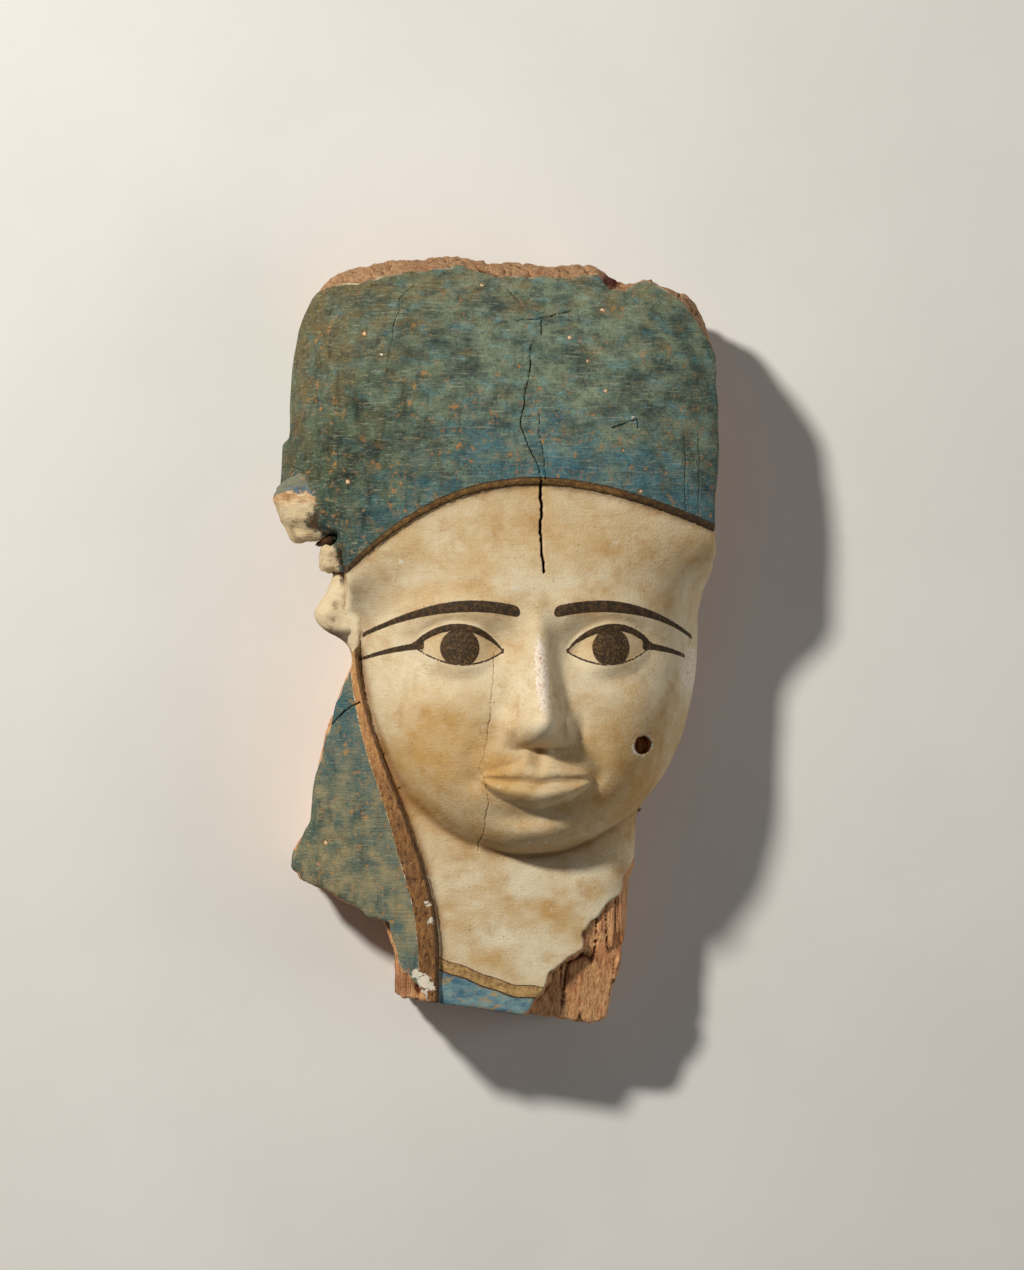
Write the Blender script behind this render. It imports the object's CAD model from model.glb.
"""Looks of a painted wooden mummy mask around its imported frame.

The mask is one mesh. Its form comes from the same height functions and outline as the CAD part, in
millimetres: x to the right as one faces it, y from the foot to the crown, z out of the back plane. They make
a signed distance field, which is meshed, refined where the detail is fine, and given cracks, grain and worn
edges. Signed distances to each painted zone are stored on its vertices for the material.
"""

import math
from itertools import product

import bpy
import numpy as np
from mathutils import Matrix, Vector


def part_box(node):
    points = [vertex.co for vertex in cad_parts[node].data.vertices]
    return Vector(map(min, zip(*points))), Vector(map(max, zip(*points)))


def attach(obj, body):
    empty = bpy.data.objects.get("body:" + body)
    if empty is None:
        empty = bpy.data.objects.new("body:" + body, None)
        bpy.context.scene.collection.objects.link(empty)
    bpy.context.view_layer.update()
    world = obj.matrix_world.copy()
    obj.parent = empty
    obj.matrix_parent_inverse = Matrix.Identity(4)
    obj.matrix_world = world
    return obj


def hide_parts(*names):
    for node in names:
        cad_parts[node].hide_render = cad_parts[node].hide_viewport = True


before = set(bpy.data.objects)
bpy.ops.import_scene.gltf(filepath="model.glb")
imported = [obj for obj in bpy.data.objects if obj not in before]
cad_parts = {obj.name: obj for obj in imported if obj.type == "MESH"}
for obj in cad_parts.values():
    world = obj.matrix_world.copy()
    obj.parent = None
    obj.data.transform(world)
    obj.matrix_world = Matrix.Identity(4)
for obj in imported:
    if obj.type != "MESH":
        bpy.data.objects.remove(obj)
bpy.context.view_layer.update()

MM = 0.001

# Sizes of the CAD part, in millimetres.
HEIGHT = 410.0
CHIN_Y = 87.0
FACE_HEIGHT = 200.0
FACE_HALF_WIDTH = 100.0
TEMPLE_HALF_WIDTH = 124.0
FACE_DEPTH = 112.0
FOREHEAD_DEPTH = 106.0
NOSE_RISE = 27.0
NOSE_HALF_WIDTH = 17.0
WIG_HALF_WIDTH = 124.0
WIG_DEPTH = 111.0
WIG_STEP = 3.0
CROWN_BEND = 140.0
HAIRLINE_SAG = 31.0
NECK_HALF_WIDTH = 64.0
NECK_DEPTH = 77.0
LAPPET_DEPTH = 82.0
LAPPET_TOP_Y = 196.0
EAR_LEVEL = 55.0
EAR_SLOPE = 0.45
EAR_ROOT_X = -106.0
EAR_DROP = 0.6
EAR_DROP_TOP_Y = 270.0
EAR_DROP_LENGTH = 20.0
WALL_LEAN = 0.08
LEAN_LEVEL = 45.0
SIDE_WALL = 36.0
FRONT_WALL = 43.0
HOLLOW_HALF_HEIGHT = 125.0
HOLLOW_X = 4.0
HOLLOW_Y = 225.0
PEG_HOLE_RADIUS = 5.0
PEG_HOLE_DEPTH = 14.0
PEG_HOLE_X = 58.0
PEG_HOLE_Y = 150.0
GESSO_STEP = 2.5
FOOT_BREAK_X = 50.0
FOOT_BREAK_Y = 76.0
PLANK_DEPTH = 78.0
SECTION_POWER = 2.5
WIG_SECTION_POWER = 2.9
PAST = 12.0

# The paint's edge along the broken crown, and the width of the lappet's border at a few heights.
CROWN_EDGE = [(-124, 384), (-104, 393), (-62, 401), (-38, 404), (-17, 398), (8, 399), (20, 397), (37, 400)]
CROWN_EDGE += [(42, 391), (51, 390), (57, 395), (63, 398), (73, 392), (84, 383), (92, 370), (110, 340)]
BORDER_WIDTHS = [(15, 10), (45, 11.5), (89, 12), (120, 9.5), (142, 8.5), (174, 6), (198, 4.5), (206, -2)]

THIRD = FACE_HEIGHT / 3
EYE_WIDTH = 2 * FACE_HALF_WIDTH / 5
BROW_Y = CHIN_Y + 2 * THIRD
EYE_Y = BROW_Y - 0.3 * THIRD
NOSE_Y = CHIN_Y + THIRD
MOUTH_Y = CHIN_Y + 2 / 3 * THIRD
HAIRLINE_Y = CHIN_Y + FACE_HEIGHT


# Small functions that the carving is made of.
def bump(*shares):
    return np.exp(-sum(share * share for share in shares))


def dome(share, power):
    return np.maximum(0, 1 - np.abs(share) ** power) ** (1 / power)


def lerp(a, b, share):
    return a + (b - a) * share


def smoothstep(value, low, high):
    share = np.clip((value - low) / (high - low), 0, 1)
    return share * share * (3 - 2 * share)


def blend_max(a, b, size):
    near = np.maximum(size - np.abs(a - b), 0) / size
    return np.maximum(a, b) + near * near * size / 4


def blend_min(a, b, size):
    return -blend_max(-a, -b, size)


def noise(points, size, seed):
    """Smooth noise from -1 to 1 whose bumps are size millimetres across, one size or one for each axis."""
    lattice = np.random.default_rng(seed).uniform(-1, 1, (32, 32, 32))
    at = points / size + 100
    cell = np.floor(at).astype(int)
    share = at - cell
    share = share * share * (3 - 2 * share)
    total = 0
    for corner in product((0, 1), repeat=3):
        weight = np.prod(np.where(corner, share, 1 - share), axis=1)
        index = (cell + corner) % 32
        total = total + weight * lattice[index[:, 0], index[:, 1], index[:, 2]]
    return total


def rough(points, size, seed, octaves=3):
    """Noise at several sizes, each half as large as the last."""
    size = np.asarray(size, float)
    layers = [noise(points, size / 2**k, seed + k) / 2**k for k in range(octaves)]
    return sum(layers)


# The carving, as heights above the back plane.
def from_cheekbone(y):
    """Shares of the way up from the cheekbones to the hairline, and down from them to the chin."""
    cheekbone = CHIN_Y + 0.65 * FACE_HEIGHT
    up = np.clip((y - cheekbone) / (HAIRLINE_Y - cheekbone), 0, 1)
    down = np.clip((cheekbone - y) / (cheekbone - CHIN_Y), 0, 1)
    return up, down


def face_half_width(y):
    up, down = from_cheekbone(y)
    above = lerp(FACE_HALF_WIDTH, TEMPLE_HALF_WIDTH, up**1.6)
    return np.where(down > 0, FACE_HALF_WIDTH * np.sqrt(1 - down**2.4), above)


def face_base(x, y):
    up, down = from_cheekbone(y)
    depth = lerp(FACE_DEPTH, FOREHEAD_DEPTH, up * up) * (1 - down**8) ** (1 / 3)
    return depth * dome(x / np.maximum(face_half_width(y), 1e-6), SECTION_POWER)


def eye_opening(side):
    """Height of the upper and lower lid's edge, and the place between the corners, from -1 to 1."""
    along = (side - EYE_WIDTH) / (0.56 * EYE_WIDTH)
    open_share = np.maximum(0, 1 - along * along)
    tilt = 1.2 * along
    upper = EYE_Y + 0.27 * EYE_WIDTH * open_share**0.85 + tilt
    lower = EYE_Y - 0.19 * EYE_WIDTH * open_share + tilt
    return upper, lower, along


def eye_relief(side, y):
    upper, lower, along = eye_opening(side)
    brow_line = BROW_Y + 1 - 0.0032 * (side - 34) ** 2
    brow_ends = smoothstep(side, 4, 20) * (1 - smoothstep(side, 50, 86))
    brow = 3.2 * bump((y - brow_line) / 9) * brow_ends
    inner_corner = -6.5 * bump((side - 21) / 11, (y - EYE_Y - 3) / 13)
    socket = -4.5 * bump((side - 42) / 26, (y - EYE_Y - 2) / 15)
    ball_x = (side - EYE_WIDTH) / (0.6 * EYE_WIDTH)
    ball_y = (y - EYE_Y - 1) / (0.25 * THIRD)
    ball = 6.5 * np.maximum(0, 1 - ball_x**2 - ball_y**2) ** 1.5
    inside = smoothstep(np.minimum(upper - y, y - lower), -0.8, 0.8) * (np.abs(along) < 1)
    crease = bump((y - upper - 5) / 1.8) * (1 - smoothstep(np.abs(along), 0.7, 1.15))
    under_lid = -1.2 * bump((side - EYE_WIDTH) / 22, (y - EYE_Y + 17) / 6)
    cheekbone = 3 * bump((side - 52) / 25, (y - EYE_Y + 34) / 20)
    return brow + inner_corner + socket + ball - 0.7 * inside - 0.7 * crease + under_lid + cheekbone


def nose_relief(side, y):
    root_y = BROW_Y - 4
    tip_y = NOSE_Y + 0.15 * THIRD
    base_y = NOSE_Y - 5
    along = np.clip((root_y - y) / (root_y - tip_y), 0, 1)
    above = 1 - smoothstep(y, root_y - 6, root_y + 16)
    under = 1 - np.clip((tip_y - y) / (tip_y - base_y), 0, 1) ** 2.4
    half = lerp(0.62, 1, along**1.3) * NOSE_HALF_WIDTH
    rise = lerp(0.2, 1, along**1.12) * NOSE_RISE
    ridge = rise * above * under * (1 - smoothstep(side / half, 0.02, 1.24))
    tip = 2.5 * bump(side / 11, (y - tip_y + 1) / 10) * under
    wing_rise = 0.4 * NOSE_RISE * smoothstep(y, base_y, base_y + 5)
    wing = wing_rise * bump((side - 0.8 * NOSE_HALF_WIDTH) / 5.2, (y - NOSE_Y - 6.5) / 7)
    blend = 5
    groove = -1.5 * bump((side - 1.38 * NOSE_HALF_WIDTH) / 3.5, (y - NOSE_Y - 5) / 9)
    return blend_max(ridge + tip, wing, blend) - blend / 4 + groove


def mouth_relief(side, y):
    half = 0.74 * EYE_WIDTH
    share = np.minimum(side / half, 1)
    line_y = MOUTH_Y + 1.8 * share**2 - 0.9 * bump(side / 5)
    taper = (1 - share**2) ** 0.62
    bow = 1 + 0.12 * bump((side - 8) / 6) - 0.12 * bump(side / 4)
    upper_share = (y - line_y) / np.maximum(11 * taper * bow, 1.5)
    lower_share = (line_y - y) / np.maximum(13.5 * taper, 1.5)
    fullness = taper**0.7
    upper = 7.0 * fullness * np.maximum(0, 1 - ((upper_share - 0.38) / 0.62) ** 2) ** 1.2
    lower = 9.5 * fullness * np.maximum(0, 1 - ((lower_share - 0.44) / 0.58) ** 2) ** 1.1
    line = -2.2 * np.sqrt(taper) * bump((y - line_y) / 1.4)
    around = 5.5 * bump(side / 36, (y - MOUTH_Y - 3) / 26)
    corner = -2.2 * bump((side - half - 2) / 5, (y - MOUTH_Y - 1.5) / 5.5)
    between = smoothstep(y, MOUTH_Y + 8, MOUTH_Y + 12) * (1 - smoothstep(y, NOSE_Y - 6, NOSE_Y - 1))
    philtrum = (0.9 * bump((side - 6) / 3) - 1.3 * bump(side / 3.2)) * between
    return upper + lower + line + around + corner + philtrum


def chin_relief(side, y):
    fold = -3.4 * bump(side / 21, (y - CHIN_Y - 26) / 6)
    chin = 7 * bump(side / 22, (y - CHIN_Y - 13) / 11)
    jowl = 2.6 * bump((side - 54) / 24, (y - CHIN_Y - 50) / 24)
    smile_fold = -1.6 * bump((side - 30 - 0.28 * (NOSE_Y - y)) / 6, (y - NOSE_Y + 8) / 17)
    return fold + chin + jowl + smile_fold


def hairline_y(x):
    out = x / 92
    return HAIRLINE_Y - HAIRLINE_SAG * out * out * (1 - 0.3 * np.clip(out, -1.2, 1.2))


def wig_height(x, y):
    depth = WIG_DEPTH * dome(np.maximum(0, y - HAIRLINE_Y - 3) / CROWN_BEND, 2.4)
    return depth * dome(x / (WIG_HALF_WIDTH + 6), WIG_SECTION_POWER)


def face_height(x, y):
    side = np.abs(x)
    relief = eye_relief(side, y) + nose_relief(side, y) + mouth_relief(side, y) + chin_relief(side, y)
    face = face_base(x, y) + relief * smoothstep(face_half_width(y) - side, 0, 0.2 * FACE_HALF_WIDTH)
    under_wig = 1 - smoothstep(hairline_y(x) - y, 0, 45)
    return lerp(face, wig_height(x, y) - WIG_STEP, under_wig)


def neck_height(x):
    return NECK_DEPTH * dome(np.where(x > 0, x, 0.6 * x) / NECK_HALF_WIDTH, 4)


def lappet_height(x):
    return LAPPET_DEPTH * dome(x / (WIG_HALF_WIDTH + 6), WIG_SECTION_POWER)


def border_x(y):
    """Inner edge of the lappet's border."""
    return -lerp(90, 48, smoothstep(y, CHIN_Y + 118, CHIN_Y - 47))


def border_width(y):
    heights, widths = zip(*BORDER_WIDTHS)
    return np.interp(y, heights, widths)


# How far a place lies within the bare wood of each break, in millimetres, and FAR_OUT where it can't be.
FAR_OUT = -50


def ragged(x, y, size, seed):
    points = np.stack([x, y, 0 * x], -1).reshape(-1, 3)
    return rough(points, size, seed).reshape(np.shape(x))


def foot_break(x, y):
    edge = 0.796 * (x - FOOT_BREAK_X) - 0.605 * (y - FOOT_BREAK_Y) + 3.0 * ragged(x, y, 14, 11)
    return np.where(y < CHIN_Y + 12, edge, FAR_OUT)


def crown_break(x, y):
    return y - np.interp(x, *zip(*CROWN_EDGE)) + ragged(x, y, 9, 17)


def lappet_break(x, y):
    edge = -0.8 * (x + 65.5) - 0.6 * (y - 30) + 1.2 * ragged(x, y, 7, 19)
    return np.where(y < 50, edge, FAR_OUT)


def broken(skin, x, y):
    """The height of the front where its skin is lost at the foot and along the crown."""
    foot = foot_break(x, y)
    crown = crown_break(x, y)
    level = PLANK_DEPTH + 0.3 * (y - FOOT_BREAK_Y) - 0.1 * (x - FOOT_BREAK_X)
    plank = np.minimum(skin - GESSO_STEP, level)
    lower = lerp(skin - GESSO_STEP, plank, smoothstep(foot, 0, 4))
    front = np.where(foot > 0, lower, skin)
    front = front - np.where(crown > 0, GESSO_STEP + 1.1 * crown, 0)
    return front - smoothstep(lappet_break(x, y), 0, 1)


def front_height(x, y):
    face = face_height(x, y)
    beside_neck = blend_max(face, neck_height(x), 7)
    beside_lappet = blend_max(face, lappet_height(x), 4)
    skin = lerp(beside_neck, beside_lappet, smoothstep(border_x(y) - x, -0.8, 0.8) * (y < BROW_Y))
    front = lerp(skin, wig_height(x, y), smoothstep(y - hairline_y(x), -1, 1))
    return np.maximum(broken(front, x, y), -PAST)


# The outlines, and a grid that keeps what depends on x and y alone.
GRID_STEP = 0.5
GRID_X = np.arange(-144, 130, GRID_STEP)
GRID_Y = np.arange(-8, HEIGHT + 10, GRID_STEP)


def mask_outline():
    half, high = WIG_HALF_WIDTH, HEIGHT
    foot = [(-0.548, 0.041), (0.298, 0), (0.355, 0.008), (0.411, 0.085), (0.444, 0.13), (0.452, 0.18)]
    jaw_y = np.arange(CHIN_Y - 3, CHIN_Y + 62, 8)
    jaw = [(max(0.985 * float(face_half_width(y)), 0.96 * NECK_HALF_WIDTH), y) for y in jaw_y]
    ear_side_lost = [(0.785, 0.46), (0.79, 0.53), (0.8, 0.6), (0.79, 0.645), (0.804, 0.69), (0.815, 0.75)]
    ear_side_lost += [(0.812, 0.85)]
    crown = [(0.782, 0.925), (0.726, 0.95), (0.613, 0.958), (0.54, 0.972), (0.427, 0.963), (0.347, 0.988)]
    crown += [(0.242, 0.993), (0.073, 0.988), (-0.097, 0.99), (-0.29, 1), (-0.629, 0.99)]
    arc = [(-0.629, 0.99), (-0.93, 0.98), (-1.005, 0.895), (-1.005, 0.773)]
    corners = np.array(arc)
    steps = np.linspace(0, 1, 11)[1:, None]
    weights = [(1 - steps) ** 3, 3 * steps * (1 - steps) ** 2, 3 * steps**2 * (1 - steps), steps**3]
    shoulder = [tuple(p) for p in sum(w * c for w, c in zip(weights, corners))]
    above_ear = [(-1.01, 0.765), (-1.05, 0.757), (-1.06, 0.73), (-1.06, 0.7)]
    above_ear += [(-0.952, 0.67), (-0.855, 0.65), (-0.774, 0.64)]
    behind_ear = [(-0.742, 0.615), (-0.726, 0.55), (-0.726, 0.47), (-0.79, 0.42), (-0.855, 0.36)]
    lappet_end = [(-0.9, 0.285), (-0.914, 0.267), (-0.983, 0.233), (-0.992, 0.207), (-0.955, 0.191)]
    lappet_end += [(-0.831, 0.178), (-0.677, 0.153), (-0.573, 0.137), (-0.54, 0.09)]
    upper = ear_side_lost + crown + shoulder + above_ear + behind_ear + lappet_end
    full_size = [[(x * half, y * high) for x, y in shares] for shares in (foot, upper)]
    return np.array(full_size[0] + jaw + full_size[1])


def rounded_outline(shares):
    """Closed Catmull-Rom curve through the corners, three steps a side."""
    corners = np.array([(-x * WIG_HALF_WIDTH, y * HEIGHT) for x, y in shares])
    before, after, beyond = (np.roll(corners, turn, 0) for turn in (1, -1, -2))
    bend = 2 * before - 5 * corners + 4 * after - beyond
    twist = 3 * corners - before - 3 * after + beyond
    steps = [corners + ((after - before) * t + bend * t**2 + twist * t**3) / 2 for t in (0, 1 / 3, 2 / 3)]
    return np.stack(steps, 1).reshape(-1, 2)


def distance_inside(outline, x, y):
    """Signed distance to a closed outline, negative inside."""
    nearest = np.full(x.shape, np.inf)
    crossings = np.zeros(x.shape, bool)
    for (ax, ay), (bx, by) in zip(outline, np.roll(outline, -1, 0)):
        dx, dy = bx - ax, by - ay
        share = np.clip(((x - ax) * dx + (y - ay) * dy) / max(dx * dx + dy * dy, 1e-9), 0, 1)
        nearest = np.minimum(nearest, (x - ax - share * dx) ** 2 + (y - ay - share * dy) ** 2)
        if ay != by:
            crosses = ((ay > y) != (by > y)) & (x < (y - ay) * dx / dy + ax)
            crossings ^= crosses
    return np.sqrt(nearest) * np.where(crossings, -1, 1)


def kept_on_grid(values):
    """A function of x and y that reads between values kept on the grid."""
    rows, columns = values.shape

    def read(x, y):
        u = np.clip((x - GRID_X[0]) / GRID_STEP, 0, columns - 1.001)
        v = np.clip((y - GRID_Y[0]) / GRID_STEP, 0, rows - 1.001)
        i, j = u.astype(int), v.astype(int)
        u, v = u - i, v - j
        low = values[j, i] * (1 - u) + values[j, i + 1] * u
        high = values[j + 1, i] * (1 - u) + values[j + 1, i + 1] * u
        return low * (1 - v) + high * v

    return read


grid_x, grid_y = np.meshgrid(GRID_X, GRID_Y)
grid_front = front_height(grid_x, grid_y)
slope_y, slope_x = np.gradient(grid_front, GRID_STEP)
front_at = kept_on_grid(grid_front)
flatness_at = kept_on_grid(1 / np.sqrt(1 + np.minimum(slope_x**2 + slope_y**2, 12)))
outline_at = kept_on_grid(distance_inside(mask_outline(), grid_x, grid_y))

EAR_UPPER = [(1.078, 0.683), (1.05, 0.703), (0.968, 0.716), (0.915, 0.702), (0.875, 0.665), (0.857, 0.643)]
EAR_UPPER += [(0.884, 0.632), (0.965, 0.629), (1.003, 0.635), (1.042, 0.659)]
EAR_KNOB = [(0.885, 0.613), (0.875, 0.623), (0.8, 0.625), (0.68, 0.62), (0.68, 0.6), (0.78, 0.591)]
EAR_KNOB += [(0.87, 0.593)]
EAR_LOBE = [(0.64, 0.598), (0.72, 0.6), (0.81, 0.592), (0.85, 0.566), (0.905, 0.538), (0.885, 0.521)]
EAR_LOBE += [(0.81, 0.505), (0.72, 0.497), (0.64, 0.5)]
# Outline, back, front, rounding and unevenness of each piece that is left of the ear.
EAR_SLABS = [
    (kept_on_grid(distance_inside(rounded_outline(corners), grid_x, grid_y)), EAR_LEVEL + back, *rest)
    for corners, back, *rest in (
        (EAR_UPPER, -8, EAR_LEVEL + 30, 6, 1.0),
        (EAR_KNOB, -6, EAR_LEVEL + 30, 4, 0.9),
        (EAR_LOBE, -9, EAR_LEVEL + 26, 8, 0.35),
    )
]


# Cracks: half the width, the depth and the path of each, in millimetres.
LONG_CRACK = [(3.0, 287), (1.5, 296), (-3, 304), (-8.2, 317), (-7.7, 323), (-5.5, 334), (-3.9, 343)]
LONG_CRACK += [(-1.3, 362)]
CRACKS = [
    (0.7, 9.0, [(3.0, 289), (2.4, 262), (3.2, 241)]),
    (0.22, 3.0, LONG_CRACK),
    (0.15, 2.0, [(0.9, 325), (1.2, 314), (4.0, 302), (5.2, 290)]),
    (0.2, 1.6, [(-61, 394), (-69, 386), (-75, 362), (-77, 346)]),
    (0.3, 1.6, [(-12.5, 391), (-6, 383)]),
    (0.35, 2.0, [(-7.7, 374), (2.5, 375), (11, 377), (21, 379.5)]),
    (0.4, 1.6, [(4, 374), (4.3, 367)]),
    (0.25, 1.6, [(40, 317), (54, 322), (54.5, 317)]),
    (0.1, 1.0, [(80, 314), (80.5, 274)]),
    (0.1, 1.0, [(88, 314), (88, 271)]),
    (0.1, 0.8, [(-22, 200), (-25, 163), (-30, 137), (-25, 121), (-27, 94)]),
    (0.4, 2.0, [(-105, 160), (-96, 169), (-90, 173)]),
    (0.15, 1.0, [(-131, 299), (-122, 297), (-118, 293)]),
]

# Small chips that show the white ground: place and radius.
PALE_CHIPS = [(-60, 29, 2.6), (-56, 25, 3.4), (-62, 20, 2.4), (-53.5, 23, 2.6), (-57, 18, 2.4)]
PALE_CHIPS += [(-54, 66, 1.5), (-52.5, 57, 1.8), (-70, 247, 1.2), (-80, 356, 0.6)]
PALE_CHIPS += [(7.3, 99, 1.0), (-2.9, 99.5, 1.2), (51, 323, 0.5), (66, 306, 0.4), (-70, 344, 0.7)]


def inside_cracks(x, y, cracks=CRACKS):
    """How far a place lies inside the nearest crack, in millimetres, and the crack's depth there."""
    points = np.stack([x, y, 0 * x], -1)
    x = x + 0.7 * noise(points, 7, 71) + 0.35 * noise(points, 2, 72)
    y = y + 0.35 * noise(points, 2, 73)
    inside, depth = np.full(x.shape, -50.0), np.zeros(x.shape)
    for half_width, crack_depth, path in cracks:
        for (ax, ay), (bx, by) in zip(path, path[1:]):
            dx, dy = bx - ax, by - ay
            share = np.clip(((x - ax) * dx + (y - ay) * dy) / (dx * dx + dy * dy), 0, 1)
            here = half_width - np.hypot(x - ax - share * dx, y - ay - share * dy)
            depth = np.maximum(depth, crack_depth * smoothstep(here, -0.15, half_width))
            inside = np.maximum(inside, here)
    return inside, depth


crack_at = kept_on_grid(-inside_cracks(grid_x.ravel(), grid_y.ravel())[0].reshape(grid_x.shape))


# The solid as a signed distance field, negative inside.
def painted_side(x, y):
    """1 on the wig's left side above the ear, where the paint goes down the wall."""
    return smoothstep(-x, 104, 112) * smoothstep(y, 286, 296)


def ear_field(points):
    x, y, z = points.T
    uneven = 1.2 * rough(points, 10, 31) + 0.7 * noise(points, 3.5, 33)
    scoop = 2.2 * bump((x + 113) / 8, (y - 270) / 8) * (z > EAR_LEVEL)
    broken_face = 1.6 * noise(points, (9, 5, 9), 34) + 0.8 * noise(points, (5, 2.6, 5), 35) + scoop
    sloping = EAR_SLOPE * np.minimum(x - EAR_ROOT_X, 0)
    sloping -= EAR_DROP * np.clip(EAR_DROP_TOP_Y - y, 0, EAR_DROP_LENGTH)
    total = np.full(len(points), 60.0)
    for outline, back, front, rounding, roughness in EAR_SLABS:
        level = np.maximum(z - front - sloping + roughness * broken_face, back - z)
        worn = roughness * uneven
        slab = blend_max(outline(x, y) + worn, level + 0.5 * worn, rounding)
        total = blend_min(total, slab, 1.5)
    return total


def hollow_field(points):
    x, y, z = points.T
    share_x = np.abs(x - HOLLOW_X) / (FACE_HALF_WIDTH - SIDE_WALL)
    share_y = np.abs(y - HOLLOW_Y) / HOLLOW_HALF_HEIGHT
    share_z = np.abs(z) / (FACE_DEPTH - FRONT_WALL)
    reach = (share_x**2.4 + share_y**2.4 + share_z**2.4) ** (1 / 2.4)
    gouges = 1.6 * noise(points, (9, 26, 12), 41) + 1.0 * noise(points, (24, 40, 24), 42)
    return (reach - 1) * 66 + gouges


def wall_field(points):
    x, y, z = points.T
    below = 1 - z / LEAN_LEVEL
    lean = 1 - WALL_LEAN * np.where(x < 0, below, np.maximum(0, below))
    wall = outline_at(x / lean, y)
    fibres = 1.3 * rough(points, (7, 40, 9), 51) + 0.5 * noise(points, (3, 18, 3.5), 52)
    chunks = 1.4 * noise(points, (22, 26, 18), 53)
    smooth_side = painted_side(x, y) * smoothstep(z, 20, 40)
    sawn_foot = smoothstep(y, 20, 12) * (x < FOOT_BREAK_X)
    return wall + (fibres + chunks) * lerp(1, 0.2, np.maximum(smooth_side, sawn_foot))


def body_field(points):
    x, y, z = points.T
    front = (z - front_at(x, y)) * flatness_at(x, y)
    body = blend_max(front, wall_field(points), 1.8)
    return blend_max(body, -z, 1.0)


def peg_hole_field(points):
    x, y, z = points.T
    rim = 0.5 * noise(points, 4, 61)
    across = np.hypot(x - PEG_HOLE_X, y - PEG_HOLE_Y) - PEG_HOLE_RADIUS + rim
    floor_z = front_at(np.array([PEG_HOLE_X]), np.array([PEG_HOLE_Y]))[0] - PEG_HOLE_DEPTH
    return np.maximum(across, floor_z - z)


def field(points):
    solid = blend_min(body_field(points), ear_field(points), 7)
    solid = blend_max(solid, -hollow_field(points), 2)
    return blend_max(solid, -peg_hole_field(points), 0.6)


# Meshing: surface nets on a coarse grid, then edges are split until they are short enough for the detail.
NET_STEP = 4.0
LONGEST_SHARE = 1.35


def surface_nets():
    low = np.array([GRID_X[0] + 1, GRID_Y[0] + 1, -6.0])
    high = np.array([GRID_X[-1] - 1, GRID_Y[-1] - 1, FACE_DEPTH + NOSE_RISE + 15])
    counts = np.ceil((high - low) / NET_STEP).astype(int)
    axes = [low[k] + NET_STEP * np.arange(counts[k]) for k in range(3)]
    values = field(np.stack(np.meshgrid(*axes, indexing="ij"), -1).reshape(-1, 3)).reshape(counts)
    cell_sum = np.zeros((*counts, 3))
    cell_count = np.zeros(counts)
    quads = []
    for axis in range(3):
        a = np.take(values, range(counts[axis] - 1), axis)
        b = np.take(values, range(1, counts[axis]), axis)
        edges = np.argwhere((a < 0) != (b < 0))
        start, end = a[tuple(edges.T)], b[tuple(edges.T)]
        crossing = edges.astype(float)
        crossing[:, axis] += start / (start - end)
        around = []
        for du, dv in ((0, 0), (-1, 0), (-1, -1), (0, -1)):
            cell = edges.copy()
            cell[:, (axis + 1) % 3] += du
            cell[:, (axis + 2) % 3] += dv
            np.add.at(cell_sum, tuple(cell.T), crossing)
            np.add.at(cell_count, tuple(cell.T), 1)
            around.append(np.ravel_multi_index(tuple(cell.T), counts))
        quad = np.stack(around, 1)
        quads.append(np.where((start < 0)[:, None], quad, quad[:, ::-1]))
    quads = np.concatenate(quads)
    used, quads = np.unique(quads, return_inverse=True)
    quads = quads.reshape(-1, 4)
    middle = cell_sum.reshape(-1, 3)[used] / cell_count.reshape(-1)[used, None]
    points = low + NET_STEP * middle
    across = np.linalg.norm(points[quads[:, 0]] - points[quads[:, 2]], axis=1)
    other = np.linalg.norm(points[quads[:, 1]] - points[quads[:, 3]], axis=1)
    first = np.where((across < other)[:, None], quads[:, [0, 1, 2]], quads[:, [0, 1, 3]])
    second = np.where((across < other)[:, None], quads[:, [0, 2, 3]], quads[:, [1, 2, 3]])
    return points, np.concatenate([first, second])


def vertex_normals(points, triangles):
    a, b, c = (points[triangles[:, k]] for k in range(3))
    face = np.cross(b - a, c - a)
    total = np.zeros_like(points)
    for axis in range(3):
        for corner in range(3):
            total[:, axis] += np.bincount(triangles[:, corner], face[:, axis], len(points))
    return total / np.maximum(np.linalg.norm(total, axis=1, keepdims=True), 1e-12)


def neighbour_average(points, triangles):
    ends = triangles[:, [0, 1, 2]].ravel(), triangles[:, [1, 2, 0]].ravel()
    count = np.bincount(ends[0], minlength=len(points)) + np.bincount(ends[1], minlength=len(points))
    total = np.zeros_like(points)
    for axis in range(3):
        total[:, axis] = np.bincount(ends[0], points[ends[1], axis], len(points))
        total[:, axis] += np.bincount(ends[1], points[ends[0], axis], len(points))
    return total / np.maximum(count, 1)[:, None]


def settle(points, triangles, rounds=1):
    """Moves the points onto the surface along their normals."""
    for _ in range(rounds):
        off = np.clip(field(points), -2, 2)
        points = points - 0.95 * off[:, None] * vertex_normals(points, triangles)
    return points


def relax(points, triangles, rounds):
    for _ in range(rounds):
        points = lerp(points, neighbour_average(points, triangles), 0.6)
        points = settle(points, triangles)
    return points


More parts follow.
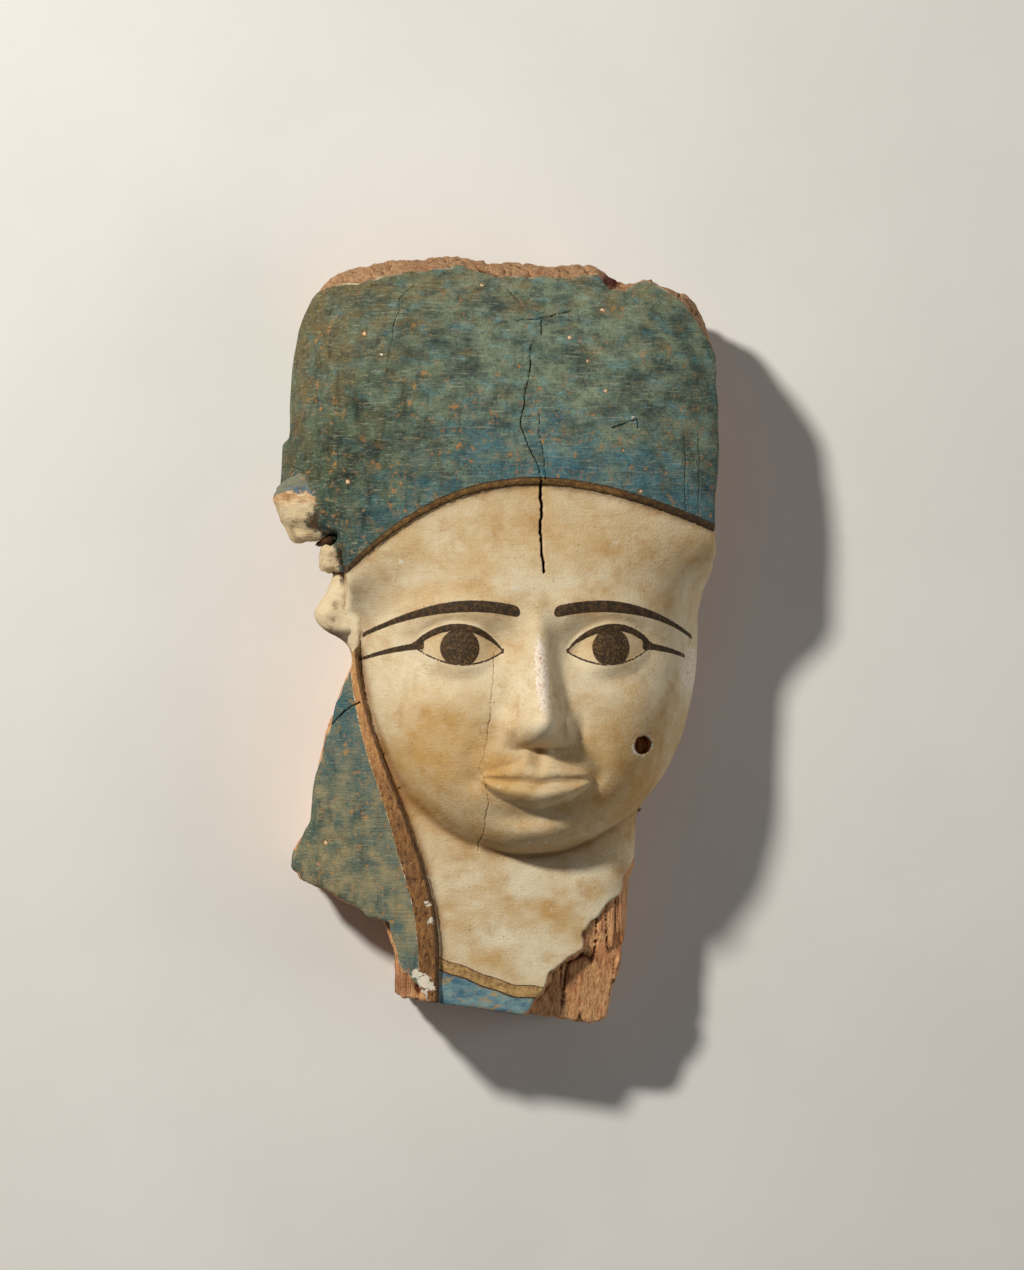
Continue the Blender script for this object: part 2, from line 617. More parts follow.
def split_long_edges(points, triangles, wanted):
    ends = np.sort(triangles[:, [[0, 1], [1, 2], [2, 0]]].reshape(-1, 2), 1)
    code, back = np.unique(ends[:, 0] * len(points) + ends[:, 1], return_inverse=True)
    a, b = code // len(points), code % len(points)
    middle = (points[a] + points[b]) / 2
    is_long = np.linalg.norm(points[a] - points[b], axis=1) > LONGEST_SHARE * wanted(middle)
    index = np.where(is_long, len(points) + np.cumsum(is_long) - 1, -1)
    mids = index[back].reshape(-1, 3)
    points = np.concatenate([points, middle[is_long]])
    count = (mids >= 0).sum(1)
    made = [triangles[count == 0]]
    for turn in range(3):
        t, m = np.roll(triangles, -turn, 1), np.roll(mids, -turn, 1)
        one = (count == 1) & (m[:, 0] >= 0)
        a, b, c, ab = *t[one].T, m[one, 0]
        made += [np.stack(corners, 1) for corners in ([a, ab, c], [ab, b, c])]
        two = (count == 2) & (m[:, 2] < 0)
        a, b, c, ab, bc = *t[two].T, m[two, 0], m[two, 1]
        made.append(np.stack([ab, b, bc], 1))
        across, other = (np.linalg.norm(points[p] - points[q], axis=1) for p, q in ((a, bc), (ab, c)))
        for if_short, if_long in (([a, ab, bc], [a, ab, c]), ([a, bc, c], [ab, bc, c])):
            made.append(np.where(across < other, if_short, if_long).T)
    t, m = triangles[count == 3], mids[count == 3]
    made += [np.stack([t[:, k], m[:, k], m[:, k - 1]], 1) for k in range(3)]
    made.append(m)
    return points, np.concatenate(made)


def wanted_length(points):
    """How long edges may be: short over the features and the broken edges, long over the back."""
    x, y, z = points.T
    on_front = np.abs(z - front_at(x, y)) * flatness_at(x, y) < 2.5
    side = np.abs(x)
    eye = np.hypot((side - EYE_WIDTH) / 34, (y - EYE_Y - 6) / 26)
    nose = np.hypot(x / 24, (y - NOSE_Y - 26) / 44)
    feature = np.min([eye, nose, np.hypot(x / 36, (y - MOUTH_Y) / 24)], axis=0)
    front = np.where(y > hairline_y(x), 2.0, lerp(1.05, 1.8, smoothstep(feature, 0.9, 1.5)))
    edge = lerp(1.5, 5, smoothstep(np.abs(outline_at(x, y)), 2, 8))
    near_break = (foot_break(x, y) > -3) | (np.abs(crown_break(x, y)) < 7) | (lappet_break(x, y) > -2)
    breaks = np.where(near_break, 1.3, 5)
    crack = np.where(crack_at(x, y) < 1.0, 0.6, 5)
    front = np.minimum(np.minimum(front, crack), np.minimum(edge, breaks))
    small = np.where(np.abs(ear_field(points)) < 3, 1.5, 5)
    small = np.minimum(small, np.where(np.abs(peg_hole_field(points)) < 1.5, 0.8, 5))
    wall = np.where(np.abs(wall_field(points)) < 3, 2.9, 5)
    return np.minimum(np.where(on_front, front, wall), small)


def form_mesh():
    points, triangles = surface_nets()
    points = relax(points, triangles, 3)
    for _ in range(5):
        before = len(points)
        points, triangles = split_long_edges(points, triangles, wanted_length)
        points = relax(points, triangles, 2)
        if len(points) < 1.02 * before:
            break
    return settle(points, triangles, 2), triangles


# Fine relief, and how far each vertex lies inside each painted or broken zone.
def below_skin(points):
    """Depth below the painted front, in millimetres; the wig's left side is painted down to the back."""
    x, y, z = points.T
    depth = (front_at(x, y) - z) * flatness_at(x, y)
    return depth - lerp(2.0, 60, painted_side(x, y))


def bare_wood(points):
    """How far a place lies within bare wood, in millimetres."""
    x, y, z = points.T
    bare = np.max([foot_break(x, y), crown_break(x, y), lappet_break(x, y), below_skin(points)], axis=0)
    beside_ear = np.where(z > LEAN_LEVEL - 6, ear_field(points) - 5, 60)
    ear_root = np.max([x + 82, 202 - y, y - 292, LEAN_LEVEL - 12 - z], axis=0)
    return np.min([bare, beside_ear, ear_root], axis=0)


def worn_surface(points, normals):
    """The points moved in along their normals: cracks, grain of the bare wood, uneven gesso."""
    x, y, z = points.T
    bare = smoothstep(bare_wood(points), -0.3, 0.8)
    on_front = smoothstep(normals[:, 2], 0.05, 0.3)
    grain = noise(points, (3.2, 46, 4), 81) + 0.5 * noise(points, (1.5, 22, 2), 82)
    splits = smoothstep(np.abs(noise(points, (5, 70, 9), 83)), 0.12, 0.0)
    wood = 0.65 * grain + 2.0 * splits
    uneven = 0.22 * noise(points, 11, 84) + 0.1 * noise(points, 4, 85)
    wig = smoothstep(y - hairline_y(x), 0, 2)
    uneven = uneven + wig * (0.3 * noise(points, (34, 9, 20), 86))
    outside = border_x(y) - x
    border = smoothstep(np.minimum(outside, border_width(y) - outside), 0, 1) * (x < 0) * (y < 200)
    worn = np.maximum(noise(points, (2.6, 6, 4), 87), 0) * smoothstep(y, 150, 60)
    uneven = uneven + border * (0.9 * worn - 0.3)
    _, crack_depth = inside_cracks(x, y)
    depth = lerp(uneven, wood, bare) + crack_depth * on_front * (below_skin(points) < 3)
    moved = points - depth[:, None] * normals
    moved[:, 2] = np.where(z < 0.6, points[:, 2], np.maximum(moved[:, 2], 0))
    return moved


def collar_y(x):
    wavering = 0.5 * np.sin(x / 6.3) + 0.4 * np.sin(x / 2.9 + 1)
    return 20 + 0.0035 * (x - 25) ** 2 + wavering


def dark_paint(x, y):
    """How far a place lies inside the painted eye lines and brows, in millimetres."""
    side = np.abs(x)
    upper, lower, along = eye_opening(side)
    near_eye = smoothstep(np.abs(along), 1.16, 1.04)
    upper_width = 1.9 * (1 - 0.6 * smoothstep(-along, 0.5, 1.1))
    upper_line = lerp(-9, upper_width - np.abs(y - upper - 1.2), near_eye)
    lower_line = lerp(-9, 0.55 - np.abs(y - lower), near_eye)
    tail_y = EYE_Y + 2.2 - 0.10 * (side - 60) - 0.005 * (side - 60) ** 2
    tail_half = 1.9 - 0.035 * (side - 60)
    tail = np.minimum(tail_half - np.abs(y - tail_y), np.minimum(side - 58, 90 - side))
    brow_y = BROW_Y + 3 - 0.0052 * (side - 34) ** 2
    brow_half = 3.1 * (1 - 0.6 * smoothstep(side, 36, 88))
    inner_end = brow_half - np.hypot(np.maximum(12 - side, 0), y - brow_y)
    brow = np.minimum(inner_end, 90 - side)
    return np.maximum(np.maximum(upper_line, lower_line), np.maximum(tail, brow))


def pale_ground(x, y):
    """How far a place lies within chips that show the white ground, in millimetres."""
    chips = [radius - np.hypot(x - chip_x, y - chip_y) for chip_x, chip_y, radius in PALE_CHIPS]
    around_peg = np.hypot(x - PEG_HOLE_X, y - PEG_HOLE_Y)
    turn = np.arctan2(y - PEG_HOLE_Y, x - PEG_HOLE_X)
    chipped_sides = np.maximum(np.cos(turn + 2.4), np.cos(turn - 0.3))
    rim = 2.0 * chipped_sides - 0.9 - np.abs(around_peg - PEG_HOLE_RADIUS - 0.4)
    return np.maximum(np.max(chips, axis=0), rim)


def abraded(x, y):
    """How far a place lies within the rubbed ridge of the nose and side of the face, in millimetres."""
    ridge = 4.5 * (1 - np.hypot((x - 0.5) / 4.2, (y - NOSE_Y - 33) / 22))
    side = 6 * (1 - np.hypot((x - 90) / 9, (y - 190) / 13))
    return np.maximum(ridge, side)


def iris(x, y):
    upper, lower, along = eye_opening(np.abs(x))
    disc = 10.2 - np.hypot(np.abs(x) - EYE_WIDTH, y - EYE_Y - 1.2)
    return np.minimum(disc, np.minimum(upper + 0.5 - y, y - lower))


def cavities(points, triangles, normals):
    smooth = points
    for _ in range(14):
        smooth = neighbour_average(smooth, triangles)
    return ((smooth - points) * normals).sum(1)


def zones_of(points, triangles):
    """Attributes for the material."""
    x, y, z = points.T
    normals = vertex_normals(points, triangles)
    face_side = np.where(x < 0, x - border_x(y), 50)
    lower_face = 0.8 * smoothstep(np.hypot((np.abs(x) - 48) / 46, (y - 136) / 48), 1.25, 0.4)
    chin_side = 0.55 * smoothstep(np.hypot(x / 60, (y - 108) / 34), 1.2, 0.5)
    forehead = 0.42 * smoothstep(y, 232, 250)
    upper, lower, _ = eye_opening(np.abs(x))
    in_eye = 0.45 * smoothstep(np.minimum(upper - y, y - lower), -0.5, 1)
    under_brow = 0.45 * smoothstep(np.hypot((np.abs(x) - 44) / 40, (y - 226) / 13), 1.2, 0.6)
    patina = np.max([lower_face, chin_side, forehead, under_brow, in_eye], axis=0)
    on_neck = smoothstep(y, CHIN_Y + 4, CHIN_Y - 6)
    neck_stains = 0.2 + 0.7 * rough(points, (18, 12, 12), 91)
    stump_smudge = bump((x + 114) / 5, (y - 268) / 5)
    lobe_underside = bump((y - 207) / 5) * smoothstep(-x, 90, 94) * (z > 35)
    crown_pit = bump((x - 45) / 6, (y - 397) / 5)
    lappet_corner = 0.55 * bump((x + 68) / 12, (y - 24) / 14)
    return {
        "bare": bare_wood(points),
        "above_hairline": y - hairline_y(x),
        "face_side": face_side,
        "border": np.minimum(-face_side, border_width(y) + face_side),
        "lappet": np.minimum(-face_side - border_width(y), LAPPET_TOP_Y - y),
        "below_collar": collar_y(x) - y,
        "pale": pale_ground(x, y),
        "abraded": abraded(x, y),
        "ear": np.clip(body_field(points) - ear_field(points), -20, 20),
        "ear_cap": y - 284.5 + 0.06 * np.maximum(x + 120, 0) ** 2 + 0.012 * (x + 120) ** 2,
        "soot": np.max([stump_smudge, lobe_underside, crown_pit, lappet_corner], axis=0),
        "dark_paint": dark_paint(x, y),
        "iris": iris(x, y),
        "crack": inside_cracks(x, y)[0],
        "cavity": cavities(points, triangles, normals),
        "patina": lerp(patina, neck_stains, on_neck),
    }


# Nodes of the material.
ZONES = ["bare", "above_hairline", "face_side", "border", "lappet", "below_collar", "pale", "abraded"]
ZONES += ["ear", "ear_cap", "soot", "dark_paint", "iris", "crack", "cavity", "patina"]
HAIRLINE_BAND = 3.8


def colour(code):
    shares = [int(code[k : k + 2], 16) / 255 for k in (1, 3, 5)]
    linear = [s / 12.92 if s <= 0.04045 else ((s + 0.055) / 1.055) ** 2.4 for s in shares]
    return (*linear, 1)


class Nodes:
    """Short names for adding nodes to one material. Sizes are in millimetres."""

    def __init__(self, name):
        self.material = bpy.data.materials.new(name)
        self.material.use_nodes = True
        self.tree = self.material.node_tree
        self.shader = self.tree.nodes["Principled BSDF"]
        place = self.tree.nodes.new("ShaderNodeTexCoord").outputs["Object"]
        to_mm = {0: place, 1: (1 / MM, 1 / MM, 1 / MM)}
        self.place = self.add("ShaderNodeVectorMath", to_mm, operation="MULTIPLY").outputs[0]

    def add(self, kind, inputs, **settings):
        made = self.tree.nodes.new(kind)
        for name, value in settings.items():
            setattr(made, name, value)
        for name, value in inputs.items():
            if isinstance(value, bpy.types.NodeSocket):
                self.tree.links.new(value, made.inputs[name])
            else:
                made.inputs[name].default_value = value
        return made

    def math(self, operation, *values):
        return self.add("ShaderNodeMath", dict(enumerate(values)), operation=operation).outputs[0]

    def times(self, a, b):
        return self.math("MULTIPLY", a, b)

    def plus(self, base, value, share=1.0):
        return self.math("MULTIPLY_ADD", value, share, base)

    def attribute(self, name):
        return self.add("ShaderNodeAttribute", {}, attribute_name=name).outputs["Fac"]

    def scaled_place(self, size, stretch, seed):
        shift = (13.1 * seed, 7.7 * seed, 3.3 * seed)
        inputs = {0: self.place, 1: [1 / (size * s) for s in stretch], 2: shift}
        return self.add("ShaderNodeVectorMath", inputs, operation="MULTIPLY_ADD").outputs[0]

    def part_of_place(self, axis):
        return self.add("ShaderNodeSeparateXYZ", {0: self.place}).outputs[axis]

    def noise(self, size, seed, stretch=(1, 1, 1), detail=5, rough=0.55):
        """Noise from about -1 to 1 whose bumps are about size millimetres across."""
        inputs = {"Vector": self.scaled_place(size, stretch, seed), "Scale": 1.0, "Detail": detail}
        made = self.add("ShaderNodeTexNoise", {**inputs, "Roughness": rough}, noise_dimensions="3D")
        return self.math("MULTIPLY_ADD", made.outputs["Fac"], 5.0, -2.5)

    def spots(self, size, seed, largest, share):
        """How far inside a spot, in cells: each cell of that size has one spot, of a random size, or none."""
        inputs = {"Vector": self.scaled_place(size, (1, 1, 1), seed), "Scale": 1.0, "Randomness": 1.0}
        made = self.add("ShaderNodeTexVoronoi", inputs, voronoi_dimensions="3D", feature="F1")
        chance = self.add("ShaderNodeSeparateColor", {0: made.outputs["Color"]}).outputs[0]
        radius = self.times(self.ramp(chance, 1 - share, 1.0), largest)
        return self.math("SUBTRACT", radius, made.outputs["Distance"])

    def ramp(self, value, low, high, to_low=0.0, to_high=1.0):
        ends = {"Value": value, "From Min": low, "From Max": high, "To Min": to_low, "To Max": to_high}
        return self.add("ShaderNodeMapRange", ends, interpolation_type="SMOOTHSTEP").outputs[0]

    def patches(self, low, high, size, seed, stretch=(1, 1, 1), **kind):
        """Noise, as a share that is 0 at its low value and 1 at its high one."""
        return self.ramp(self.noise(size, seed, stretch, **kind), low, high)

    def mix(self, share, a, b, blend="MIX"):
        made = self.add("ShaderNodeMix", {0: share, 6: a, 7: b}, data_type="RGBA", blend_type=blend)
        return made.outputs[2]

    def between(self, share, first, second):
        return self.mix(share, colour(first), colour(second))

    def paint(self, base, code, share, most=1.0, blend="MIX"):
        """The base with opaque paint over it."""
        if most != 1.0:
            share = self.times(share, most)
        return self.mix(share, base, colour(code), blend)

    def stain(self, base, code, share, most=1.0):
        """The base darkened as by a glaze."""
        return self.paint(base, code, share, most, "MULTIPLY")

    def link(self, value, name):
        self.tree.links.new(value, self.shader.inputs[name])


class MaskNodes(Nodes):
    """Nodes with the mesh's zones and the raggedness of their edges."""

    def __init__(self, name):
        super().__init__(name)
        self.zone = {name: self.attribute(name) for name in ZONES}
        self.edge = self.times(self.noise(2.4, 51, detail=4, rough=0.65), 0.35)
        self.fine_edge = self.times(self.noise(1.0, 52, detail=3), 0.16)

    def inside(self, name, softness=0.18, ragged=None):
        drift = self.math("ADD", self.zone[name], ragged or self.edge)
        return self.ramp(drift, -softness, softness)

    def band(self, name, low, high, softness=0.15, ragged=None):
        drift = self.math("ADD", self.zone[name], ragged or self.fine_edge)
        rises = self.ramp(drift, low - softness, low + softness)
        return self.times(rises, self.ramp(drift, high + softness, high - softness))


def gesso_colour(n, patina, cavity):
    """Cream gesso: whiter and browner clouds, brown grime in the hollows, pale scuffs and brown specks."""
    clouds = n.plus(patina, n.noise(30, 1, detail=4, rough=0.6), 0.34)
    warm = n.plus(clouds, n.noise(8, 7, (1.3, 1, 1), rough=0.68), 0.2)
    base = n.between(n.ramp(warm, -0.55, 1.35), "#e9dbbb", "#c49a58")
    blotches = n.patches(0.0, 1.2, 14, 2, rough=0.65)
    base = n.stain(base, "#d0af7c", blotches, 0.45)
    scuffs = n.patches(0.5, 1.25, 6, 3, (1.5, 1, 1), rough=0.7)
    base = n.paint(base, "#eae2d0", scuffs, 0.5)
    brushed = n.noise(1.0, 6, (12, 1, 3), detail=3, rough=0.6)
    base = n.stain(base, "#b89a6e", n.ramp(brushed, 0.1, 1.3), 0.24)
    fine = n.noise(1.1, 4, detail=3, rough=0.7)
    base = n.stain(base, "#b0905f", n.ramp(fine, 0.0, 1.4), 0.36)
    specks = n.ramp(n.spots(4.5, 5, 0.12, 0.4), -0.02, 0.03)
    base = n.paint(base, "#8a6236", specks, 0.6)
    grime = n.ramp(cavity, 0.1, 1.6)
    return n.stain(base, "#a07a50", grime, 0.7)


def wig_colour(n, above_hairline, on_lappet):
    """Blue-green paint, bluer near the hairline, with dark smudges, olive wear and brush lines."""
    across = n.part_of_place(0)
    left = n.ramp(across, 10, -100)
    height = n.part_of_place(1)
    clouds = n.noise(13, 11, (1.2, 1, 1), detail=6, rough=0.68)
    base = n.between(n.ramp(clouds, -0.9, 1.0), "#3b4c45", "#87967d")
    base = n.paint(base, "#83958c", on_lappet, 0.6)
    drift = n.noise(14, 12, (1.4, 1, 1), rough=0.65)
    drift = n.plus(above_hairline, drift, 34.0)
    bluer = n.times(n.ramp(drift, 52, -16), n.ramp(on_lappet, 1, 0, 0.0, 0.7))
    base = n.paint(base, "#3b7284", bluer)
    lappet_top = n.times(n.ramp(height, -110, -40, 0.15, 0.95), on_lappet)
    base = n.paint(base, "#528a9b", lappet_top)
    cool = n.patches(0.0, 1.2, 7, 13, (1.5, 1, 1), rough=0.68)
    base = n.paint(base, "#639aa4", cool, 0.6)
    high = n.plus(n.plus(-1.45, left, 0.3), above_hairline, 0.012)
    olive = n.ramp(n.math("ADD", n.noise(12, 14, (1.2, 1, 1), rough=0.68), high), -0.5, 0.9)
    base = n.paint(base, "#857044", olive, 0.75)
    smudges = n.patches(0.0, 1.3, 8, 15, (1.3, 1, 1), detail=6, rough=0.72)
    base = n.paint(base, "#2b312b", smudges, n.ramp(on_lappet, 0, 1, 0.85, 0.35))
    low_left = n.times(left, n.ramp(above_hairline, 120, 75, 0.5, 1.0))
    base = n.stain(base, "#85917f", low_left, 0.8)
    drips = n.patches(0.0, 1.3, 3.5, 16, (1, 7, 1), detail=4, rough=0.6)
    base = n.stain(base, "#5f6154", drips, n.ramp(across, 60, -80, 0.15, 0.7))
    brush = n.noise(1.2, 17, (8, 1, 3), detail=4, rough=0.78)
    base = n.paint(base, "#b4b293", n.ramp(brush, 0.0, 1.2), 0.55)
    dirt = n.patches(-0.2, 1.2, 1.4, 18, rough=0.85)
    base = n.stain(base, "#595847", dirt, 0.9)
    near = n.math("ADD", n.ramp(above_hairline, 95, 10, -0.55, 0.35), n.times(on_lappet, 0.1))
    edges = n.plus(near, n.ramp(n.math("ABSOLUTE", across), 75, 110), 0.25)
    where = n.ramp(n.math("ADD", n.noise(22, 19, detail=3), edges), -0.8, 0.4)
    haze = n.patches(0.1, 1.2, 6.5, 28, rough=0.7)
    base = n.paint(base, "#8a6a42", n.times(haze, where), 0.5)
    blots = n.patches(0.3, 0.85, 3.6, 20, (1, 1.2, 1), rough=0.72)
    base = n.paint(base, "#b37c42", n.times(blots, where), 0.85)
    ochre = n.times(n.patches(-0.9, 1.2, 12, 26, detail=6, rough=0.66), on_lappet)
    return n.paint(base, "#ae9c70", ochre, n.ramp(height, -50, -90, 0.4, 0.75))


def wood_colour(n, cavity, above_hairline, soot):
    """Old orange-brown wood with darker grain and pale torn fibres, greyer and crumbling at the crown."""
    grain = n.noise(1.8, 21, (1, 22, 1.2), rough=0.7)
    base = n.between(n.ramp(grain, -0.5, 1.2), "#fcc086", "#a35c30")
    torn = n.patches(0.1, 1.0, 0.8, 22, (1, 14, 1), detail=4, rough=0.8)
    base = n.paint(base, "#ffe0b2", torn, 0.75)
    splits = n.patches(0.3, 0.9, 0.9, 25, (1, 22, 1), detail=4, rough=0.7)
    base = n.stain(base, "#5c3018", splits, 0.92)
    red = n.patches(-0.2, 1.2, 22, 23, detail=3)
    base = n.stain(base, "#d68a64", red, 0.5)
    crumbling = n.patches(-0.5, 0.9, 2.4, 27, rough=0.8)
    aged = n.between(crumbling, "#bb9873", "#66422d")
    base = n.mix(n.ramp(above_hairline, 50, 100, 0.0, 0.7), base, aged)
    holes = n.patches(0.6, 1.15, 1.3, 24, detail=3, rough=0.8)
    base = n.stain(base, "#5a3724", holes)
    base = n.stain(base, "#7c4430", n.ramp(soot, 0.2, 0.8))
    return n.stain(base, "#7a5138", n.ramp(cavity, 0.15, 1.5))


def band_colour(n):
    """Brown and ochre paint of the hairline and the collar."""
    worn = n.patches(-0.5, 1.0, 4, 31, rough=0.7)
    base = n.between(worn, "#5f4224", "#96723c")
    specks = n.patches(0.6, 1.2, 1.2, 32, detail=3, rough=0.8)
    return n.paint(base, "#33271b", specks)


def border_colour(n, cavity):
    """The lappet's raised border: brown paint with grain along it, darker and more worn towards the foot."""
    height = n.part_of_place(1)
    low = n.ramp(height, -20, -120)
    grain = n.patches(-0.9, 1.2, 1.6, 33, (1, 3.5, 1), rough=0.78)
    upper_part = n.between(grain, "#d4a068", "#935f34")
    lower_part = n.between(grain, "#a0713f", "#4f301c")
    base = n.mix(low, upper_part, lower_part)
    worn = n.patches(-0.2, 1.0, 9, 34, (1, 1.8, 1), rough=0.75)
    base = n.paint(base, "#6d5239", worn, n.ramp(low, 0, 1, 0.3, 0.7))
    flakes = n.patches(0.6, 1.1, 1.3, 36, (1, 1.6, 1), detail=4, rough=0.78)
    base = n.paint(base, "#e0c7a2", flakes, 0.65)
    drift = n.plus(n.noise(1.8, 35, (1, 2, 1), detail=4, rough=0.78), low, 0.35)
    pits = n.ramp(drift, 0.45, 0.95)
    base = n.paint(base, "#3f2617", pits, 0.88)
    return n.stain(base, "#6a4630", n.ramp(cavity, 0.05, 0.5))


def dark_colour(n):
    worn = n.patches(-0.4, 1.1, 2.4, 41, rough=0.8)
    base = n.between(worn, "#32281d", "#70502c")
    flecks = n.patches(0.9, 1.3, 1.0, 43, detail=3, rough=0.8)
    return n.paint(base, "#a48a64", flecks, 0.7)


def iris_colour(n):
    grains = n.patches(-0.3, 1.0, 1.4, 42, detail=4, rough=0.8)
    base = n.between(grains, "#382a1c", "#7d5f38")
    flecks = n.patches(0.85, 1.25, 1.3, 44, detail=3, rough=0.8)
    return n.paint(base, "#ab9673", flecks, 0.75)


def ear_colour(n, gesso, wig, zone):
    """The broken ear: gesso with orange frays and soot, and the wig's paint on its upper rim and root."""
    across = n.part_of_place(0)
    grains = n.noise(1.6, 91, (2.2, 1, 1.6), detail=4, rough=0.75)
    base = n.paint(gesso, "#dcc8a2", 0.5)
    frayed = n.times(n.ramp(grains, 0.1, 1.0), n.ramp(n.noise(8, 93, detail=3), -0.3, 0.7, 0.05, 0.8))
    base = n.paint(base, "#b98450", frayed)
    stains = n.patches(0.3, 1.2, 7, 92, detail=4)
    base = n.stain(base, "#96764f", stains, 0.7)
    ragged = n.plus(zone["ear_cap"], n.noise(3.4, 94, detail=4, rough=0.65), 2.6)
    rim = n.times(n.ramp(ragged, -9, -1.0), n.ramp(across, -92, -104, 0.3, 1.0))
    base = n.paint(base, "#c08a55", rim, n.ramp(grains, -0.9, 0.6))
    base = n.paint(base, "#e9dabb", rim, n.ramp(grains, -0.2, -1.3))
    base = n.mix(n.ramp(ragged, -0.7, 0.9), base, n.paint(wig, "#a9a896", 0.35))
    blue_line = n.times(n.ramp(n.math("ABSOLUTE", n.math("SUBTRACT", ragged, 0.9)), 1.6, 0.2), 0.8)
    blue_line = n.times(blue_line, n.ramp(across, -116, -109))
    base = n.paint(base, "#4c7287", blue_line)
    root = n.plus(zone["ear"], n.noise(2.6, 96, detail=4, rough=0.7), 2.2)
    painted_root = n.times(n.ramp(root, 5.5, 2.5), n.ramp(zone["above_hairline"], -8, 0))
    base = n.mix(painted_root, base, n.paint(wig, "#b07a48", n.ramp(grains, 0.2, 0.8)))
    base = n.paint(base, "#4a3524", n.ramp(zone["soot"], 0.1, 0.9), 0.85)
    return n.stain(base, "#7a5a3c", n.ramp(zone["cavity"], 0.3, 1.6))


def lappet_border(n, skin, dark):
    """The border's brown paint, with a dark line along the neck."""
    on_border = n.inside("border")
    skin = n.mix(on_border, skin, border_colour(n, n.zone["cavity"]))
    dark_side = n.times(n.band("face_side", -2.4, 0.3), on_border)
    return n.mix(n.times(dark_side, 0.75), skin, dark)


def hairline(n, skin, dark):
    """A brown band along the hairline between two dark lines, dark as a whole towards its ends."""
    ends = n.ramp(n.math("ABSOLUTE", n.part_of_place(0)), 45, 85, 0.0, 0.85)
    paint = n.mix(ends, band_colour(n), dark)
    skin = n.mix(n.band("above_hairline", 0.0, HAIRLINE_BAND, 0.2, n.edge), skin, paint)
    for line in (0.0, HAIRLINE_BAND):
        thin_line = n.band("above_hairline", line - 0.4, line + 0.4, 0.2, n.edge)
        skin = n.mix(n.times(thin_line, 0.9), skin, dark)
    return skin


def collar(n, skin, dark):
    """An ochre band between dark lines at the neck's foot, and washed-out blue below it."""
    on_neck = n.ramp(n.zone["face_side"], -0.2, 0.2)
    washed = n.patches(-0.8, 0.9, 6, 63, (2, 1, 1), rough=0.72)
    blues = n.between(washed, "#416c80", "#86a3a4")
    losses = n.patches(0.0, 0.7, 4, 61, (1.8, 1, 1), rough=0.75)
    blue = n.paint(blues, "#ae9263", losses, 0.85)
    ochre = n.between(n.patches(-0.8, 0.9, 3, 62, rough=0.75), "#c8a46a", "#86643a")
    for low, high, paint in ((0.0, 0.6, dark), (0.6, 6.2, ochre), (6.2, 7.2, dark), (7.2, 60.0, blue)):
        there = n.times(n.band("below_collar", low, high), on_neck)
        skin = n.mix(there, skin, paint)
    return skin


def worn_places(n, skin):
    """Rubbed ridge and side of the face, and chips down to the white ground."""
    worn_away = n.noise(2.8, 76, (1, 1.8, 1), rough=0.75)
    rubbed = n.plus(n.zone["abraded"], worn_away, 1.6)
    specks = n.patches(0.0, 0.7, 1.3, 77, detail=4, rough=0.7)
    skin = n.mix(n.ramp(rubbed, 0.3, 0.9, 0.0, 0.85), skin, n.between(specks, "#f6ead9", "#c28a66"))
    flaking = n.noise(2.2, 75, rough=0.75)
    chipped = n.ramp(n.plus(n.zone["pale"], flaking, 1.9), -0.1, 0.25)
    return n.paint(skin, "#e4dac6", chipped)


def fine_relief(n, lost, blue_zone, bare):
    """Height of the brush lines, the gesso's and the wood's grain, and the spots of lost paint."""
    brush = n.times(n.noise(0.8, 82, (18, 1, 4), detail=3), blue_zone)
    height = n.times(brush, 0.1)
    height = n.plus(height, n.noise(1.2, 83, detail=4, rough=0.6), 0.08)
    height = n.plus(height, lost, -0.3)
    fibres = n.times(n.noise(1.0, 84, (1, 12, 1), detail=4, rough=0.65), bare)
    return n.plus(height, fibres, 0.35)


